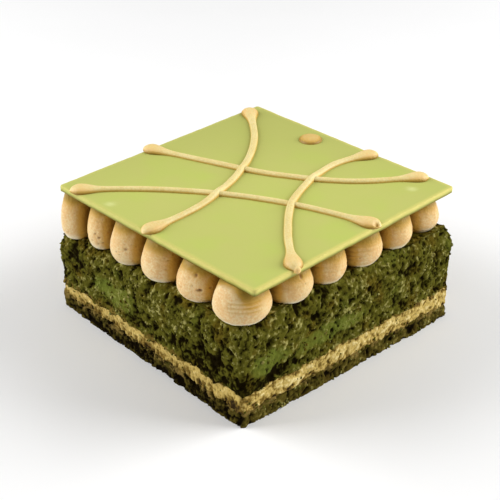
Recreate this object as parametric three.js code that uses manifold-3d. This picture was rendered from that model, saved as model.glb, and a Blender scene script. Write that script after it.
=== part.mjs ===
// A square matcha layer cake for one person. From the bottom up it has a thin sponge base, a cream filling,
// a thick crumbly sponge, a layer of piped cream with a ring of dots round its edge, and a thin chocolate
// plaque with lines piped across it. Millimetres, +Z up, the origin at the middle of the underside.
// The sides that face -Y and +X meet at the front corner, where the largest dot stands.

import * as THREE from 'three';
import { ImprovedNoise } from 'three/addons/math/ImprovedNoise.js';
import { mergeVertices } from 'three/addons/utils/BufferGeometryUtils.js';
import Module from 'manifold-3d';

// The cake's layers
const CAKE_SIDE = 70.8;
const CAKE_CORNER = 1.2;
const BASE_TOP = 4;
const FILLING_TOP = 7.9; // at the middle of the cake
const FILLING_CLIMB = 0.024; // the filling thickens this much for each millimetre towards +X
const SPONGE_TOP = 24.3; // at the middle of the cake
const SPONGE_CLIMB = 0.06; // the sponge's top climbs this much for each millimetre towards +X
const SPONGE_COLUMNS = 160;
const SPONGE_ROWS = 8;
const BASE_ROWS = 2;
const FILLING_ROWS = 3;

// The broken crumb on the sponges' sides, and the smear on the filling's
const CRAG_SIZE = 3.1;
const CRAG_DEPTH = 1.1;
const LUMP_SIZE = 9;
const LUMP_DEPTH = 0.6;
const SMEAR_SIZE = 6;
const SMEAR_DEPTH = 0.9;
const TOP_EDGE_ROUND = 2.4;
const TOP_EDGE_FROM = 0.72; // share of the thick sponge's height where its edge starts to round

// The piped dots: each corner is x, y and radius, and four more dots stand on each side between the corners
const DOT_CORNERS = [[-30.1, -32.4, 4.5], [29.5, -29.9, 6.8], [28.3, 29.5, 5.4], [-30, 30, 5.6]];
// Out is how far a side's dots stand off the line between its corners. Their neck, and that of the corner
// before them, is the radius under the plaque as a share of the widest, and their waist is the share of the
// height where they are widest
const DOT_SIDES = [
  { radii: [4.6, 5.8, 6.2, 6.6], out: -1.2, neck: 0.62, waist: 0.32 },
  { radii: [6, 5.4, 5.9, 5.4], out: 0.9, neck: 0.72, waist: 0.41 },
  { radii: [5.4, 5.9, 5.5, 5.7], out: 0.2, neck: 0.66, waist: 0.36 },
  { radii: [6.2, 5.8, 6.4, 6.1], out: 0, neck: 0.64, waist: 0.34 },
];
const DOT_FOOT = 0.76; // radius where the dot stands on the sponge, as a share of its widest
const DOT_FOOT_CURVE = 2.2; // how late the belly rounds in to the foot
const DOT_NECK_CURVE = 1.5; // how late it tapers to the neck
const DOT_OVAL = 0.04; // share by which a dot is narrower one way than the other
const DOT_LEAN = 0.5; // how far a dot's head may stand off its foot's centre, both ways together
const DOT_COLUMNS = 14;
const DOT_ROWS = 7;
const DOT_SEED = 20;
const CORE_SIDE = 44;
const CORE_CORNER = 5;
const CORE_COLUMNS = 48;
const FOOT_GAP = 0.1; // under the piped cream
const PLAQUE_GAP = 0.3; // between the piped cream and the plaque

// The plaque and the lines piped on it, each line drawn from end to end on the plaque's own axes
const PLAQUE_SIDE = 68.7;
const PLAQUE_CORNER = 0.4;
const PLAQUE_CORNER_STEPS = 3;
const PLAQUE_THICKNESS = 1.5;
const PLAQUE_TOP = 36.5;
const PLAQUE_CENTRE = [0.4, 0.4];
const PLAQUE_TURN = 2.6; // degrees
const UNDER_LINES = [
  [[-30.3, -34.6], [-16.6, -20.2], [-1, -8.4], [15.7, 0.1], [35.2, 6.2]],
  [[-35.8, -6.2], [-16.7, 0.8], [-0.4, 7.5], [15.6, 18.5], [27.1, 34]],
];
const OVER_LINES = [
  [[-1.4, -35.6], [-1.9, -16.6], [-8.3, 2.6], [-19.1, 18.1], [-34.2, 30.8]],
  [[34.8, -22.4], [22.1, -11.5], [11.3, 2.1], [5.9, 20.8], [9.4, 35]],
];
const LONE_DOT = [-8.7, 28.8];
const LONE_DOT_RADIUS = 3.1;
const LONE_DOT_HEIGHT = 1.1;
const LINE_WIDTH = 2.0;
const LINE_HEIGHT = 0.95;
const LINE_SIDES = 10;
const LINE_ROWS = 36;
const LINE_SINK = 0.5; // how deep a line is bedded in the plaque
const BLOB_WIDTH = 4.7;
const BLOB_HEIGHT = 1.5;
const BLOB_MIDDLE = 2.8; // from the end of the line
const BLOB_SPREAD = 3.4;
const BLOB_ROUND = 2.2; // how much of the end rounds off
const BLOB_TIP = 0.25; // share of the width left at the very end
const DRAPE = 2.6; // how far from a crossing a line starts to climb over the other
const DRAPE_CLIMB = 0.6; // share of the other's height that it climbs, as it sinks into the rest
const DRAPE_STEPS = 144; // points tried along each line to find how near it is

const noise = new ImprovedNoise();
const wasm = await Module();
wasm.setup();

// Finishes
const finish = (color, roughness) => () => new THREE.MeshStandardMaterial({ color, roughness, metalness: 0 });
const matchaSponge = finish(0x44481c, 0.95);
const coffeeCream = finish(0xd9b98a, 0.6);
const tanFilling = finish(0xb99a52, 0.75);
const matchaChocolate = finish(0xb9c564, 0.45);

// A closed drum of quads bent into shape: place gives the point for a share of the way round,
// a share of the way up, and whether it is the middle of an end
function bend(columns, rows, place) {
  const drum = new THREE.CylinderGeometry(1, 1, 1, columns, rows);
  const position = drum.attributes.position;
  for (let i = 0; i < position.count; i++) {
    const angle = Math.atan2(position.getX(i), position.getZ(i));
    const column = (Math.round((angle / (2 * Math.PI)) * columns) + columns) % columns;
    const middle = Math.hypot(position.getX(i), position.getZ(i)) < 0.5;
    const point = place(column / columns, position.getY(i) + 0.5, middle);
    position.setXYZ(i, point.x, point.y, point.z);
  }
  drum.deleteAttribute('normal');
  drum.deleteAttribute('uv');
  return mergeVertices(drum);
}

// A square outline with rounded corners, as points and outward directions by the share of the way round
function roundedSquare(side, corner) {
  const half = side / 2 - corner;
  const straight = 2 * half;
  const quarter = straight + (Math.PI / 2) * corner;
  return (share) => {
    const along = share * 4;
    const quadrant = Math.floor(along);
    const run = (along - quadrant) * quarter;
    const swing = Math.max(0, run - straight) / corner;
    const y = Math.min(run, straight) - half;
    const turn = (quadrant * Math.PI) / 2;
    const point = new THREE.Vector2(half + corner * Math.cos(swing), y + corner * Math.sin(swing));
    const out = new THREE.Vector2(Math.cos(swing), Math.sin(swing));
    const origin = new THREE.Vector2();
    return { point: point.rotateAround(origin, turn), out: out.rotateAround(origin, turn) };
  };
}

const level = (height) => () => height;
const fillingTopAt = (x) => FILLING_TOP + FILLING_CLIMB * x;
const spongeTopAt = (x) => SPONGE_TOP + SPONGE_CLIMB * x;

// One layer of the cake, with its side moved in by depth(x, y, z, rise) and its top at topAt(x)
function layer(outline, columns, rows, bottomAt, topAt, depth) {
  return bend(columns, rows, (share, rise, middle) => {
    if (middle) return new THREE.Vector3(0, 0, rise > 0.5 ? topAt(0) : bottomAt(0));
    const { point, out } = outline(share);
    const height = THREE.MathUtils.lerp(bottomAt(point.x), topAt(point.x), rise);
    point.addScaledVector(out, -depth(point.x, point.y, height, rise));
    const z = THREE.MathUtils.lerp(bottomAt(point.x), topAt(point.x), rise);
    return new THREE.Vector3(point.x, point.y, z);
  });
}

const noiseAt = (x, y, z, size) => noise.noise(x / size, y / size, z / size);

// How far the broken crumb of a sponge's side stands in from its cut
function crumbDepth(x, y, z) {
  return CRAG_DEPTH * noiseAt(x, y, z, CRAG_SIZE) + LUMP_DEPTH * noiseAt(x, y, z, LUMP_SIZE);
}

// The knife's smear along the filling
function smearDepth(x, y, z) {
  return SMEAR_DEPTH * noiseAt(x, y, z, SMEAR_SIZE);
}

// The thick sponge's crumb, with its top edge worn round
function topSpongeDepth(x, y, z, rise) {
  const round = Math.max(0, rise - TOP_EDGE_FROM) / (1 - TOP_EDGE_FROM);
  return crumbDepth(x, y, z) + TOP_EDGE_ROUND * round ** 2;
}

// The radius of a piped dot by the share of its height: a full belly, then a taper up to the plaque
function dotSwell(rise, neck, waist) {
  if (rise < waist) {
    const below = 1 - rise / waist;
    return 1 - (1 - DOT_FOOT) * below ** DOT_FOOT_CURVE;
  }
  const above = (rise - waist) / (1 - waist);
  return 1 - (1 - neck) * above ** DOT_NECK_CURVE;
}

// One dot, standing on the sponge and pressed flat by the plaque
function pipedDot({ x, y, radius, neck, waist }) {
  const turn = 2 * Math.PI * THREE.MathUtils.seededRandom();
  const leanX = DOT_LEAN * (THREE.MathUtils.seededRandom() - 0.5);
  const leanY = DOT_LEAN * (THREE.MathUtils.seededRandom() - 0.5);
  return bend(DOT_COLUMNS, DOT_ROWS, (share, rise, middle) => {
    const angle = 2 * Math.PI * share;
    const oval = 1 - DOT_OVAL * (0.5 + 0.5 * Math.cos(2 * (angle - turn)));
    const reach = middle ? 0 : radius * oval * dotSwell(rise, neck, waist);
    const px = x + leanX * rise + reach * Math.cos(angle);
    const py = y + leanY * rise + reach * Math.sin(angle);
    const foot = spongeTopAt(px) + FOOT_GAP;
    const head = PLAQUE_TOP - PLAQUE_THICKNESS - PLAQUE_GAP;
    return new THREE.Vector3(px, py, THREE.MathUtils.lerp(foot, head, rise));
  });
}

// The ring of dots, side by side from corner to corner, with what is left over shared between the gaps
function dotRing() {
  return DOT_CORNERS.flatMap(([x, y, radius], side) => {
    const [endX, endY, endRadius] = DOT_CORNERS[(side + 1) % DOT_CORNERS.length];
    const { radii, out, neck, waist } = DOT_SIDES[side];
    const corner = new THREE.Vector2(x, y);
    const ahead = new THREE.Vector2(endX, endY).sub(corner);
    const taken = radii.reduce((sum, each) => sum + 2 * each, radius + endRadius);
    const gap = (ahead.length() - taken) / (radii.length + 1);
    ahead.normalize();
    const outward = new THREE.Vector2(ahead.y, -ahead.x);
    let along = radius;
    const between = radii.map((each) => {
      const spot = corner.clone().addScaledVector(ahead, along + gap + each).addScaledVector(outward, out);
      along += gap + 2 * each;
      return { x: spot.x, y: spot.y, radius: each, neck, waist };
    });
    return [{ x, y, radius, neck, waist }, ...between];
  });
}

// How far a piped line's side and top stand out, by the distance from its nearest end
function lineReach(along) {
  const swell = Math.exp(-(((along - BLOB_MIDDLE) / BLOB_SPREAD) ** 2));
  const round = Math.max(0, 1 - along / BLOB_ROUND);
  const close = Math.max(BLOB_TIP, Math.sqrt(1 - round ** 2));
  return {
    side: (close * THREE.MathUtils.lerp(LINE_WIDTH, BLOB_WIDTH, swell)) / 2,
    top: close * THREE.MathUtils.lerp(LINE_HEIGHT, BLOB_HEIGHT, swell),
  };
}

const planCurve = (points) => new THREE.SplineCurve(points.map((each) => new THREE.Vector2(...each)));

// A line of piping on the plaque's top, climbing over the lines that were piped before it
function pipedLine(points, under) {
  const curve = planCurve(points);
  const length = curve.getLength();
  const crossed = under.flatMap((each) => planCurve(each).getSpacedPoints(DRAPE_STEPS));
  return bend(LINE_SIDES, LINE_ROWS, (share, rise, middle) => {
    const centre = curve.getPointAt(rise);
    const ahead = curve.getTangentAt(rise);
    const reach = lineReach(Math.min(rise, 1 - rise) * length);
    const nearest = Math.min(Infinity, ...crossed.map((each) => each.distanceTo(centre)));
    const climb = DRAPE_CLIMB * LINE_HEIGHT * Math.exp(-((nearest / DRAPE) ** 2));
    const angle = 2 * Math.PI * (share + 0.5 / LINE_SIDES);
    const across = middle ? 0 : reach.side * Math.cos(angle);
    const up = Math.sin(angle);
    const rim = up > 0 ? (reach.top + climb) * up : LINE_SINK * up;
    const z = middle ? -LINE_SINK / 2 : rim;
    return new THREE.Vector3(centre.x - across * ahead.y, centre.y + across * ahead.x, z);
  });
}

// The single dot that stands apart from the lines
function loneDot() {
  return bend(LINE_SIDES, DOT_ROWS, (share, rise, middle) => {
    const angle = 2 * Math.PI * share;
    const reach = middle ? 0 : LONE_DOT_RADIUS * Math.max(BLOB_TIP, Math.sqrt(1 - rise ** 2));
    const z = THREE.MathUtils.lerp(-LINE_SINK, LONE_DOT_HEIGHT, rise);
    return new THREE.Vector3(
      LONE_DOT[0] + reach * Math.cos(angle),
      LONE_DOT[1] + reach * Math.sin(angle),
      z,
    );
  });
}

// The bare plaque, its top at the height that the lines are piped on
function plate() {
  const half = PLAQUE_SIDE / 2 - PLAQUE_CORNER;
  const outline = new THREE.Shape();
  for (let quarter = 0; quarter < 4; quarter++) {
    const start = (quarter * Math.PI) / 2;
    const across = half * Math.sign(Math.cos(start + Math.PI / 4));
    const up = half * Math.sign(Math.sin(start + Math.PI / 4));
    outline.absarc(across, up, PLAQUE_CORNER, start, start + Math.PI / 2);
  }
  const settings = { depth: PLAQUE_THICKNESS, bevelEnabled: false, curveSegments: PLAQUE_CORNER_STEPS };
  const slab = new THREE.ExtrudeGeometry(outline, settings);
  slab.translate(0, 0, -PLAQUE_THICKNESS);
  slab.deleteAttribute('normal');
  slab.deleteAttribute('uv');
  return mergeVertices(slab);
}

// A closed mesh as a solid that can be joined to others
function solid(geometry) {
  const vertProperties = new Float32Array(geometry.attributes.position.array);
  const triVerts = new Uint32Array(geometry.index.array);
  return new wasm.Manifold(new wasm.Mesh({ numProp: 3, vertProperties, triVerts }));
}

// Several closed meshes joined into one
function fuse(pieces) {
  const whole = pieces.map(solid).reduce((joined, piece) => joined.add(piece));
  const mesh = whole.getMesh();
  const geometry = new THREE.BufferGeometry();
  geometry.setAttribute('position', new THREE.BufferAttribute(mesh.vertProperties, 3));
  geometry.setIndex(new THREE.BufferAttribute(mesh.triVerts, 1));
  return geometry;
}

function decoratedPlaque() {
  const under = UNDER_LINES.map((points) => pipedLine(points, []));
  const over = OVER_LINES.map((points) => pipedLine(points, UNDER_LINES));
  return fuse([plate(), ...under, ...over, loneDot()]);
}

const cake = new THREE.Group();

function add(name, geometry, material) {
  const mesh = new THREE.Mesh(geometry, material);
  mesh.name = name;
  cake.add(mesh);
  return mesh;
}

const cut = roundedSquare(CAKE_SIDE, CAKE_CORNER);
const base = layer(cut, SPONGE_COLUMNS, BASE_ROWS, level(0), level(BASE_TOP), crumbDepth);
add('sponge_base', base, matchaSponge());
const filling = layer(cut, SPONGE_COLUMNS, FILLING_ROWS, level(BASE_TOP), fillingTopAt, smearDepth);
add('cream_filling', filling, tanFilling());
const sponge = layer(cut, SPONGE_COLUMNS, SPONGE_ROWS, fillingTopAt, spongeTopAt, topSpongeDepth);
add('sponge_top', sponge, matchaSponge());

const coreFoot = (x) => spongeTopAt(x) + FOOT_GAP;
const coreHead = level(PLAQUE_TOP - PLAQUE_THICKNESS - PLAQUE_GAP);
const coreOutline = roundedSquare(CORE_SIDE, CORE_CORNER);
add('cream_core', layer(coreOutline, CORE_COLUMNS, 1, coreFoot, coreHead, () => 0), coffeeCream());

THREE.MathUtils.seededRandom(DOT_SEED);
dotRing().forEach((dot, index) => {
  const number = String(index + 1).padStart(2, '0');
  add(`cream_dot_${number}`, pipedDot(dot), coffeeCream());
});

const plaque = add('matcha_plaque', decoratedPlaque(), matchaChocolate());
plaque.position.set(...PLAQUE_CENTRE, PLAQUE_TOP);
plaque.rotation.z = THREE.MathUtils.degToRad(PLAQUE_TURN);

// The middle of the underside of the cake's box comes to the origin
const middle = new THREE.Box3().setFromObject(cake, true).getCenter(new THREE.Vector3());
cake.position.set(-middle.x, -middle.y, 0);

export default cake;
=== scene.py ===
"""The looks of a square matcha layer cake for one person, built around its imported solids.

Two layers of crumbly green sponge hold a tan cream filling. A ring of piped cream dots stands on the sponge
and carries a thin green plaque with lines piped across it. Sizes are in millimetres from the middle of the
cake's underside, with +Z up, and become metres where a mesh is made. The sides that face -Y and +X meet at
the front corner.
"""

import logging
import math
from collections.abc import Mapping, Sequence
from dataclasses import dataclass, field
from enum import Enum

import bmesh
import bpy
import numpy as np
from mathutils import Matrix, Vector


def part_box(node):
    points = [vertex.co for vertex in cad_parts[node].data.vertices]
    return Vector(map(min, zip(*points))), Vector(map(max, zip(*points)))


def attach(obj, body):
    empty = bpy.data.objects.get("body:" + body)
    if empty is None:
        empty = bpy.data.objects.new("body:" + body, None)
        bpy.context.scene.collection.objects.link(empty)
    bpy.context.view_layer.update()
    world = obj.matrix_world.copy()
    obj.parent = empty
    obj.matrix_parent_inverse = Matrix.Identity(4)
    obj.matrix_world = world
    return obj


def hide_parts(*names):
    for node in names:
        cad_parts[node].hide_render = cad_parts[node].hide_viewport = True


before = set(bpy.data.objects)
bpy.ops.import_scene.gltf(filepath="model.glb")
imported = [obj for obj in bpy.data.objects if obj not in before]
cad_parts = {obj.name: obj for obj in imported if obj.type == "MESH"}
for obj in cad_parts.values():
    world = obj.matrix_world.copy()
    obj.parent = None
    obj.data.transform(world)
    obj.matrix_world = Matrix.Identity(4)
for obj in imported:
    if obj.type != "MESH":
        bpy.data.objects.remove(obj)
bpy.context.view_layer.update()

LOG = logging.getLogger("cake")
MM = 0.001
BODY = "root"
UP = (0, 0, 1)
UPRIGHT = 0.9  # a direction that rises more than this points up
LEDGE_DEPTH = 1  # how far in from the clean cut crumbs may cling
NOISE_MIDDLE = 0.5  # what a noise node gives on average

Points = np.ndarray
Numbers = np.ndarray
Colour = tuple[float, float, float, float]
Range = tuple[float, float]
Spot = tuple[float, float]
Settings = Mapping[str, object]
Sockets = Mapping[str | int, object]


class Slot(Enum):
    """The record's material slots."""

    SPONGE = "sponge"
    FILLING = "filling"
    CREAM = "cream"
    CHOCOLATE = "chocolate"


class Mark(Enum):
    """Numbers kept at a mesh's points for its finish to read."""

    TIP = "tip"  # a tone from dark to light; on the sponge 0 in the depth of a hole and 1 on the outermost crumb, which paints shade into the holes and a highlight on the crumbs
    FRESH = "fresh"  # where the knife left the sponge smooth and green
    SMEAR = "smear"  # where cream was dragged over the sponge
    PIT = "pit"  # inside a burst bubble of the piped cream, darkened as painted shade
    CREVICE = "crevice"  # painted shade where cream lies close to what is beside, over or under it
    THICK = "thick"  # where a piped line swells to a blob, tan, and paler at its crest as a painted highlight
    FOOT = "foot"  # a painted highlight, paler towards the foot of each dot
    SHADED = "shaded"  # where a dot stands in the plaque's shade
    RIM = "rim"  # a painted highlight along the plaque's top edge
    LOWER = "lower"  # painted shade on the lower part of the plaque's sides, and on its underside
    SMUDGE = "smudge"  # where the plaque's surface is rubbed pale
    DULL = "dull"  # painted shade, darker towards the plaque's back corner


# Numbers and shapes


def tint(code: str) -> Colour:
    """Turns a colour as a screen shows it into the linear colour that a shader takes.

    Args:
        code: Red, green and blue as six hexadecimal digits.

    Returns:
        The linear colour, opaque.
    """
    shown = [int(code[at:at + 2], 16) / 255 for at in (0, 2, 4)]
    linear = [each / 12.92 if each < 0.04045 else ((each + 0.055) / 1.055) ** 2.4 for each in shown]
    return (*linear, 1.0)


def ease(values: Numbers, low: float, high: float) -> Numbers:
    """Rises smoothly from 0 to 1 as values go from low to high, which may be the smaller one."""
    share = np.clip((values - low) / (high - low), 0, 1)
    return share * share * (3 - 2 * share)


def around(columns: int) -> Numbers:
    """Gives even angles once round."""
    return 2 * math.pi * np.arange(columns) / columns


def swing_from(azimuth: float, angle: Numbers) -> Numbers:
    """Gives how far angles are from an azimuth, in degrees to both sides."""
    return (np.degrees(angle) - azimuth + 180) % 360 - 180


@dataclass(frozen=True)
class Grain:
    """Seeded noise that fills space, for everything uneven on the cake.

    Its large factors and its shifts only serve to scramble a cell's place into a number.
    """

    seed: int
    axis_step: int = 101
    layer_step: int = 31
    gain: float = 1.5
    axis_factors: tuple[int, ...] = (374761393, 668265263, 2246822519)
    seed_factor: int = 3266489917
    salt_factor: int = 1013904223
    mixes: tuple[tuple[int, int], ...] = ((15, 2654435761), (13, 1274126177))
    last_shift: int = 16
    span: int = 2**32

    def draw(self, cells: Points, salt: int = 0) -> Numbers:
        """Gives every whole-numbered cell a number of its own.

        Args:
            cells: Whole-numbered places, as floats.
            salt: Picks one of several numbers for each cell.

        Returns:
            Numbers from 0 to 1.
        """
        axes = np.moveaxis(cells.astype(np.int64).astype(np.uint32), -1, 0)
        mixed = sum(axis * np.uint32(factor) for axis, factor in zip(axes, self.axis_factors))
        mixed = mixed + np.uint32((self.seed * self.seed_factor + salt * self.salt_factor) % self.span)
        for shift, factor in self.mixes:
            mixed = (mixed ^ (mixed >> np.uint32(shift))) * np.uint32(factor)
        return ((mixed ^ (mixed >> np.uint32(self.last_shift))) / self.span).astype(np.float64)

    def swell(self, points: Points, size: float) -> Numbers:
        """Makes smooth lumps of the given size.

        Args:
            points: Places, one row each.
            size: Distance between lumps.

        Returns:
            Heights from about -1 to 1.
        """
        place = points / size
        low = np.floor(place)
        share = place - low
        blend = share**3 * (share * (share * 6 - 15) + 10)
        total = np.zeros(len(points))
        for corner in np.ndindex(2, 2, 2):
            cell = low + corner
            pull = np.stack([self.draw(cell, salt) - 0.5 for salt in range(3)], -1)
            pull /= np.linalg.norm(pull, axis=-1, keepdims=True) + 1e-9
            weight = np.prod(np.where(corner, blend, 1 - blend), axis=-1)
            total += weight * np.sum(pull * (share - corner), axis=-1)
        return self.gain * total

    def drift(self, points: Points, size: float, reach: float) -> Points:
        """Moves places about by up to reach, so that what is drawn on them isn't regular."""
        moves = [Grain(self.seed + self.axis_step * axis).swell(points, size) for axis in (1, 2, 3)]
        return points + reach * np.stack(moves, -1)

    def rough(self, points: Points, size: float, layers: int = 3) -> Numbers:
        """Adds up ever finer lumps.

        Args:
            points: Places, one row each.
            size: Distance between the broadest lumps.
            layers: How many sizes of lumps there are, each half the last.

        Returns:
            Heights from about -1 to 1.
        """
        lumps = []
        for layer in range(layers):
            finer = 2**layer
            lumps.append(Grain(self.seed + self.layer_step * layer).swell(points, size / finer) / finer)
        return np.sum(lumps, axis=0)


@dataclass
class Skin:
    """A closed mesh in millimetres, with numbers at its points for its finish to read."""

    points: Points
    faces: list[list[int]]
    marks: dict[Mark, Numbers] = field(default_factory=dict)

    @classmethod
    def drum(cls, rings: Points) -> "Skin":
        """Joins rings of points, each counter-clockwise and the lowest first, and closes both ends.

        Args:
            rings: Points by ring and by column.

        Returns:
            The closed mesh, with the middles of its two ends as its last points.
        """
        count, columns = rings.shape[:2]
        column = np.arange(columns)
        after = (column + 1) % columns
        below = np.arange(count - 1)[:, None] * columns
        above = below + columns
        quads = np.stack([below + column, below + after, above + after, above + column], -1).reshape(-1, 4)
        ends = rings[[0, -1]].mean(axis=1)
        last = (count - 1) * columns
        foot = np.stack([after, column, np.full(columns, count * columns)], -1)
        head = np.stack([last + column, last + after, np.full(columns, count * columns + 1)], -1)
        points = np.concatenate([rings.reshape(-1, 3), ends])
        return cls(points, quads.tolist() + foot.tolist() + head.tolist())

    def mark(self, mark: Mark, values: Numbers) -> None:
        """Keeps a number at each point, with the two end points taking the last one."""
        flat = values.ravel()
        self.marks[mark] = np.concatenate([flat, np.full(len(self.points) - len(flat), flat[-1])])

    def piece(
        self, name: str, material: bpy.types.Material, slot: Slot, replaces: Sequence[str] = ()
    ) -> bpy.types.Object:
        """Makes the mesh a piece of the cake.

        Args:
            name: The piece's name.
            material: Its finish.
            slot: Not used.
            replaces: The solids that it stands for.

        Returns:
            The new object.
        """
        mesh = bpy.data.meshes.new(name)
        mesh.from_pydata(((self.points + CENTRE) * MM).tolist(), [], self.faces)
        mesh.shade_smooth()
        for mark, values in self.marks.items():
            numbers = mesh.attributes.new(mark.value, "FLOAT", "POINT")
            numbers.data.foreach_set("value", values.astype(np.float32))
        mesh.materials.append(material)
        piece = bpy.data.objects.new(name, mesh)
        bpy.context.scene.collection.objects.link(piece)
        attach(piece, BODY)
        if replaces:
            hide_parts(*replaces)
        return piece


@dataclass(frozen=True)
class Outline:
    """A square with rounded corners, seen from above."""

    side: float
    corner: float

    def trace(self, columns: int) -> tuple[Points, Points]:
        """Walks round the outline counter-clockwise in even steps.

        Args:
            columns: The number of steps.

        Returns:
            The points and their outward directions, both flat.
        """
        half = self.side / 2 - self.corner
        quarter = 2 * half + math.pi / 2 * self.corner
        along = 4 * np.arange(columns) / columns
        run = (along % 1) * quarter
        swing = np.maximum(0, run - 2 * half) / self.corner
        turn = np.floor(along) * math.pi / 2
        out = np.stack([np.cos(swing + turn), np.sin(swing + turn)], -1)
        straight = np.minimum(run, 2 * half) - half
        x = half * np.cos(turn) - straight * np.sin(turn)
        y = half * np.sin(turn) + straight * np.cos(turn)
        return np.stack([x, y], -1) + self.corner * out, out


@dataclass(frozen=True)
class Plane:
    """A nearly level plane: its height over the middle of the cake, and its climb along X and Y."""

    height: float
    climb_x: float = 0
    climb_y: float = 0

    @classmethod
    def over(cls, node: str, upright: float = 0.95) -> "Plane":
        """Finds the flat top of a solid.

        Args:
            node: The solid's name.
            upright: How nearly straight up a face of the top points.

        Returns:
            The plane through that top.
        """
        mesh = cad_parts[node].data
        corners = {corner for face in mesh.polygons if face.normal.z > upright for corner in face.vertices}
        spots = np.array([mesh.vertices[corner].co for corner in sorted(corners)]) / MM - CENTRE
        terms = np.column_stack([np.ones(len(spots)), spots[:, 0], spots[:, 1]])
        return cls(*np.linalg.lstsq(terms, spots[:, 2], rcond=None)[0])

    def at(self, plan: Points) -> Numbers:
        """Gives the plane's height at places seen from above."""
        return self.height + self.climb_x * plan[..., 0] + self.climb_y * plan[..., 1]


def box_mm(node: str) -> tuple[Points, Points]:
    """Gives a solid's lowest and highest corner in millimetres from the middle of the cake."""
    low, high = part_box(node)
    return np.array(low) / MM - CENTRE, np.array(high) / MM - CENTRE


def middle_of_cake() -> Points:
    """Finds where the cake's middle stands in the frame, from the plain square of cream under the plaque."""
    low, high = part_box("cream_core")
    return np.array([(low.x + high.x) / 2, (low.y + high.y) / 2, 0]) / MM


CENTRE = middle_of_cake()
SPONGE_TOP = Plane.over("sponge_top")


# Shader nodes


class Shade:
    """One output of a node, which adds Math nodes as it is used in an expression."""

    def __init__(self, board: "Board", socket: bpy.types.NodeSocket) -> None:
        """Keeps the socket and the board that it is on."""
        self.board = board
        self.socket = socket

    def __add__(self, other: "Shade | float") -> "Shade":
        """Adds."""
        return self.board.math("ADD", self, other)

    def __sub__(self, other: "Shade | float") -> "Shade":
        """Subtracts."""
        return self.board.math("SUBTRACT", self, other)

    def __rsub__(self, other: float) -> "Shade":
        """Subtracts from a number."""
        return self.board.math("SUBTRACT", other, self)

    def __mul__(self, other: "Shade | float") -> "Shade":
        """Multiplies."""
        return self.board.math("MULTIPLY", self, other)

    __radd__ = __add__
    __rmul__ = __mul__

    def centred(self) -> "Shade":
        """Moves noise so that it swings about 0."""
        return self - NOISE_MIDDLE

    def between(self, low: float, high: float) -> "Shade":
        """Rises smoothly from 0 to 1 as the value goes from low to high."""
        settings = {"interpolation_type": "SMOOTHSTEP"}
        return self.board.out("ShaderNodeMapRange", settings, {0: self, 1: low, 2: high}, 0)


class Board:
    """The nodes of one finish."""

    def __init__(self, name: str) -> None:
        """Starts an empty material.

        Args:
            name: The material's name.
        """
        self.material = bpy.data.materials.new(name)
        self.material.use_nodes = True
        self.tree = self.material.node_tree
        self.tree.nodes.clear()
        self.place = self.out("ShaderNodeTexCoord", {}, {}, "Object")

    def node(self, kind: str, settings: Settings, sockets: Sockets) -> bpy.types.Node:
        """Adds a node.

        Args:
            kind: The node's type.
            settings: Its properties, which are set first.
            sockets: Values or links for its inputs, by name or number.

        Returns:
            The new node.
        """
        node = self.tree.nodes.new(kind)
        for name, value in settings.items():
            setattr(node, name, value)
        for key, value in sockets.items():
            if isinstance(value, Shade):
                self.tree.links.new(value.socket, node.inputs[key])
            else:
                node.inputs[key].default_value = value
        return node

    def out(self, kind: str, settings: Settings, sockets: Sockets, output: str | int) -> Shade:
        """Adds a node as the last method does, and gives its output of that name or number."""
        return Shade(self, self.node(kind, settings, sockets).outputs[output])

    def math(self, operation: str, first: "Shade | float", second: "Shade | float") -> Shade:
        """Adds a Math node."""
        return self.out("ShaderNodeMath", {"operation": operation}, {0: first, 1: second}, 0)

    def mix(self, share: Shade, low: "Shade | Colour", high: "Shade | Colour") -> Shade:
        """Goes from one colour to another as share goes from 0 to 1."""
        return self.out("ShaderNodeMix", {"data_type": "RGBA"}, {0: share, 6: low, 7: high}, 2)

    def mark(self, mark: Mark) -> Shade:
        """Reads a number that is kept at the mesh's points."""
        return self.out("ShaderNodeAttribute", {"attribute_name": mark.value}, {}, "Fac")

    def noise(self, size: float, detail: float = 2, stretch: Sequence[float] = (1, 1, 1)) -> Shade:
        """Adds noise from 0 to 1.

        Args:
            size: Distance between its lumps in millimetres.
            detail: How many finer layers it has.
            stretch: How many times longer its lumps are along each axis.

        Returns:
            The noise, mostly near 0.5.
        """
        scale = [1 / each for each in stretch]
        place = self.out("ShaderNodeMapping", {}, {"Vector": self.place, "Scale": scale}, 0)
        sockets = {"Vector": place, "Scale": 1 / (size * MM), "Detail": detail}
        return self.out("ShaderNodeTexNoise", {}, sockets, 0)

    def bump(self, height: Shade, depth: float) -> Shade:
        """Turns a height from 0 to 1 into a normal for relief of the given depth in millimetres."""
        return self.out("ShaderNodeBump", {}, {"Height": height, "Distance": depth * MM, "Strength": 1}, 0)

    def surface(self, sockets: Sockets) -> bpy.types.Material:
        """Closes the board with a Principled surface.

        Args:
            sockets: Values or links for the surface's inputs, by name.

        Returns:
            The board's material.
        """
        shader = self.out("ShaderNodeBsdfPrincipled", {}, sockets, 0)
        self.node("ShaderNodeOutputMaterial", {}, {"Surface": shader})
        return self.material


# Finishes: a pull is how strongly a noise takes part, and a range is where one colour goes over to the next


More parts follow.
